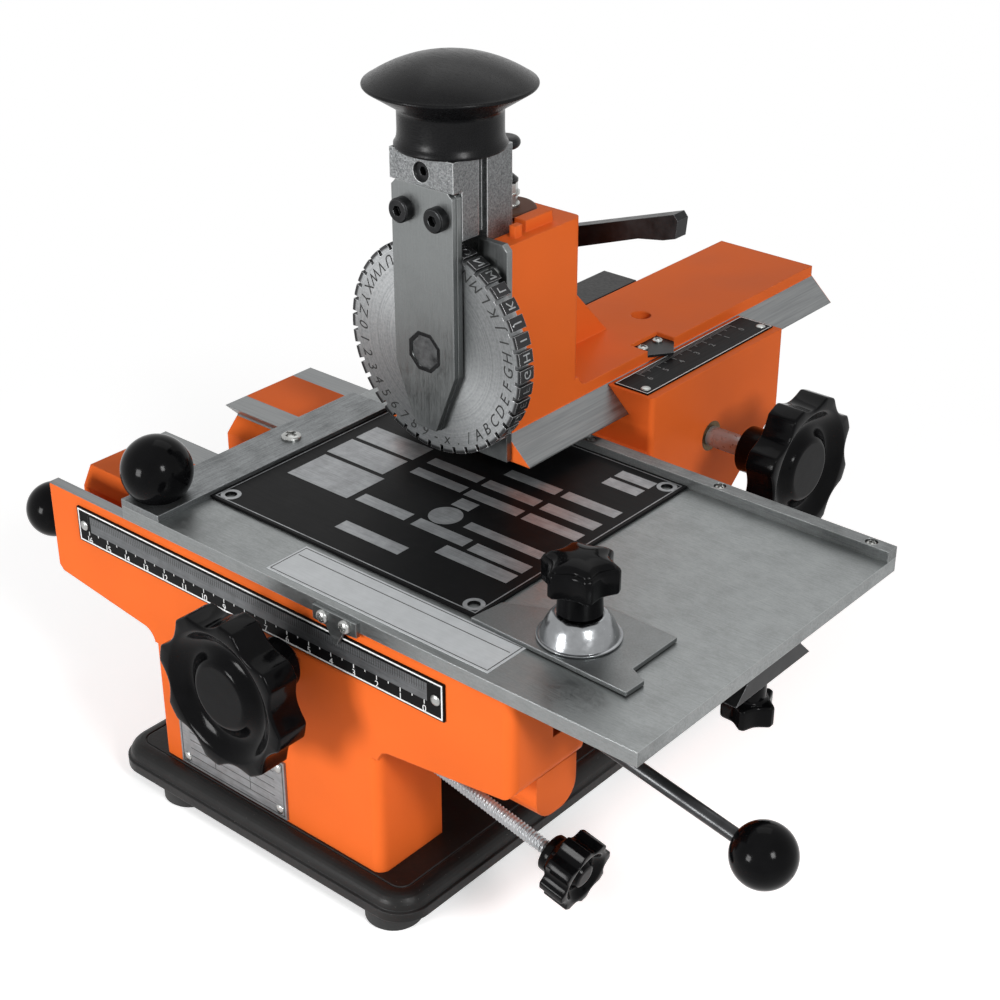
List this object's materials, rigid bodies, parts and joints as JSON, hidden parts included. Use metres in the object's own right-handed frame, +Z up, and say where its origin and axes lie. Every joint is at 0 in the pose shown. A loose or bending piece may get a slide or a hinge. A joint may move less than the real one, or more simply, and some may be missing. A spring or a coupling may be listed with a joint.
{
  "type": "nameplate marking machine",
  "caption": "Bench machine that stamps characters into metal nameplates: a type wheel on a hand-pressed ram over a rack-driven sliding table.",
  "frame": {"origin": "middle of the machine's outline, on the floor under its feet", "axes": "+X to the right along the front scale, +Y to the back along the arm, +Z up"},
  "size_m": [0.3228, 0.3274, 0.2626],
  "materials": {
    "orange_paint": "gloss",
    "black_paint": "satin",
    "foot_rubber": "matte",
    "knob_plastic": "gloss",
    "press_plastic": "satin",
    "zinc_plate": "brushed",
    "dark_steel": "brushed",
    "ram_steel": "sand cast and ground",
    "bright_steel": "turned",
    "black_steel": "black oxide",
    "scale_black": "anodised",
    "plate_silver": "satin",
    "bronze": "plain",
    "boss_brown": "satin"
  },
  "bodies": {
    "base": {"rubber_feet": "foot_rubber", "base_plate": "black_paint", "casting_bolts": "black_steel", "front_casting": "orange_paint", "rear_casting": "orange_paint", "x_scale": "scale_black", "y_scale": "scale_black", "spec_plate": "plate_silver", "plate_rivets": "bright_steel", "shaft_bushes": "bronze", "block_cover": "black_paint", "lever_pin": "bright_steel"},
    "table": {"work_table": "zinc_plate", "table_slider": "dark_steel", "table_rack": "dark_steel", "left_fence": "dark_steel", "back_fence": "dark_steel", "table_screws": "bright_steel", "x_pointer": "zinc_plate", "label_plate": "plate_silver", "sample_plate": "scale_black", "handle_ball": "knob_plastic", "handle_stud": "bright_steel", "clamp_stud": "bright_steel"},
    "clamp": {"clamp_plate": "zinc_plate", "dome_washer": "bright_steel"},
    "clamp_knob": {"clamp_knob": "knob_plastic"},
    "under_knob": {"under_knob": "knob_plastic"},
    "x_drive": {"x_handwheel": "knob_plastic", "x_shaft": "bright_steel", "x_pinion": "dark_steel"},
    "arm": {"head_casting": "orange_paint", "guide_plate": "zinc_plate", "y_rack": "dark_steel", "y_pointer": "black_steel", "arm_screws": "bright_steel", "stop_boss": "boss_brown", "stop_nuts": "bright_steel", "return_spring": "bright_steel"},
    "y_drive": {"y_handwheel": "knob_plastic", "y_shaft": "bright_steel", "y_pinion": "dark_steel"},
    "ram": {"ram_block": "ram_steel", "press_knob": "press_plastic", "front_plate": "ram_steel", "inner_plate": "ram_steel", "plate_screws": "black_steel", "set_screw": "black_steel", "dial_pin": "dark_steel"},
    "dial": {"type_wheel": "dark_steel"},
    "depth_lever": {"depth_lever": "black_steel"},
    "stop_screw": {"stop_screw": "black_steel"},
    "advance_lever": {"advance_rod": "bright_steel", "advance_ball": "knob_plastic"},
    "release": {"release_rod": "bright_steel", "release_ball": "knob_plastic"},
    "pitch_screw": {"pitch_screw": "bright_steel", "pitch_knob": "knob_plastic"}
  },
  "joints": [
    {"name": "table_slide", "type": "slide", "parent": "base", "child": "table", "axis": [1, 0, 0], "range_m": [-0.11, 0.034]},
    {"name": "x_handwheel_turn", "type": "hinge", "parent": "base", "child": "x_drive", "pos_m": [-0.01911, -0.13365, 0.086], "axis": [0, 1, 0], "range_deg": [-425, 135]},
    {"name": "arm_slide", "type": "slide", "parent": "base", "child": "arm", "axis": [0, 1, 0], "range_m": [-0.033, 0.038]},
    {"name": "y_handwheel_turn", "type": "hinge", "parent": "base", "child": "y_drive", "pos_m": [0.0429, 0.06285, 0.1025], "axis": [1, 0, 0], "range_deg": [-98, 85.5]},
    {"name": "ram_press", "type": "slide", "parent": "arm", "child": "ram", "axis": [0, 0, -1], "range_m": [0, 0.007], "stiffness_N_per_m": 1500, "springref_m": -0.012, "deforming": ["return_spring"]},
    {"name": "dial_turn", "type": "hinge", "parent": "ram", "child": "dial", "pos_m": [-0.03241, -0.042, 0.163], "axis": [0, 1, 0], "continuous": true},
    {"name": "depth_lever_turn", "type": "hinge", "parent": "arm", "child": "depth_lever", "pos_m": [-0.03241, 0.01635, 0.185], "axis": [0, 1, 0], "range_deg": [-20, 25]},
    {"name": "stop_screw_turn", "type": "hinge", "parent": "arm", "child": "stop_screw", "pos_m": [-0.03241, -0.00765, 0.21], "axis": [0, 0, 1], "range_deg": [-180, 180]},
    {"name": "advance_lever_turn", "type": "hinge", "parent": "base", "child": "advance_lever", "pos_m": [0.05489, -0.11065, 0.0998], "axis": [0, 1, 0], "range_deg": [0, 8], "stiffness_Nm_per_rad": 0.4, "springref_deg": -11.46},
    {"name": "release_pull", "type": "slide", "parent": "base", "child": "release", "axis": [-1, 0, 0], "range_m": [0, 0.004], "stiffness_N_per_m": 400, "springref_m": -0.004},
    {"name": "pitch_screw_turn", "type": "hinge", "parent": "base", "child": "pitch_screw", "pos_m": [0.0209, -0.12365, 0.0679], "axis": [0.9785, 0, -0.2062], "range_deg": [-180, 180]},
    {"name": "clamp_lift", "type": "slide", "parent": "table", "child": "clamp", "axis": [0, 0, 1], "range_m": [0, 0.003]},
    {"name": "clamp_knob_turn", "type": "hinge", "parent": "clamp", "child": "clamp_knob", "pos_m": [0.0753, -0.10015, 0.14], "axis": [0, 0, 1], "range_deg": [-170, 170]},
    {"name": "under_knob_turn", "type": "hinge", "parent": "table", "child": "under_knob", "pos_m": [0.11289, -0.06165, 0.095], "axis": [0, 0, 1], "range_deg": [-180, 180]}
  ],
  "couplings": [
    {"joint": "x_handwheel_turn", "follows": "table_slide", "rad_per_m": 66.667},
    {"joint": "y_handwheel_turn", "follows": "arm_slide", "rad_per_m": -44.444}
  ]
}
